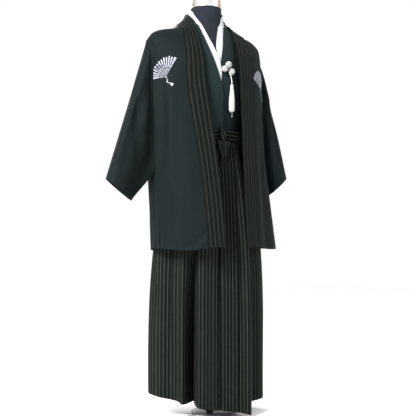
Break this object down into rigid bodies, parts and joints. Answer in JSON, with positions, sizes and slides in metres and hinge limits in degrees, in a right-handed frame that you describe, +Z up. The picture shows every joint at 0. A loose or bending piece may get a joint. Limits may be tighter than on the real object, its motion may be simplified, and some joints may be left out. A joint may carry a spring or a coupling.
{
  "type": "men's formal kimono set on a dress form",
  "caption": "Men's formal dress on a limbless dress form: open coat with striped collar band over a kimono and a pleated, striped skirt-trouser.",
  "frame": {"origin": "on the floor, straight below the middle of the neck", "axes": "+Z up, the wearer's front faces -Y, the wearer's left side is +X"},
  "size_m": [0.8716, 0.3481, 1.5973],
  "materials": {
    "black_silk": "matt woven",
    "striped_silk": "matt woven, pin-striped",
    "white_silk": "smooth woven",
    "white_braid": "soft yarn",
    "navy_jersey": "fine knit",
    "dark_metal": "satin",
    "polished_metal": "polished"
  },
  "bodies": {
    "root": {"form_body": "navy_jersey", "form_neck_cap": "polished_metal", "form_pole": "dark_metal", "form_base": "dark_metal", "kimono_body_right": "black_silk", "kimono_body_left": "black_silk", "kimono_collar": "black_silk", "half_collar": "white_silk", "hakama_front_right": "striped_silk", "hakama_front_left": "striped_silk", "hakama_back_left": "striped_silk", "hakama_back_right": "striped_silk", "hakama_waistband": "striped_silk", "hakama_back_board": "striped_silk", "hakama_knot": "striped_silk", "hakama_tie_end_right": "striped_silk", "hakama_tie_end_left": "striped_silk", "haori_body_right": "black_silk", "haori_gusset_right": "black_silk", "haori_sleeve_right": "black_silk", "haori_body_left": "black_silk", "haori_gusset_left": "black_silk", "haori_sleeve_left": "black_silk", "haori_collar": "striped_silk", "tie_pompom_upper": "white_braid", "tie_pompom_right": "white_braid", "tie_pompom_left": "white_braid", "tie_cord": "white_braid", "tie_tassel": "white_braid"}
  },
  "joints": []
}
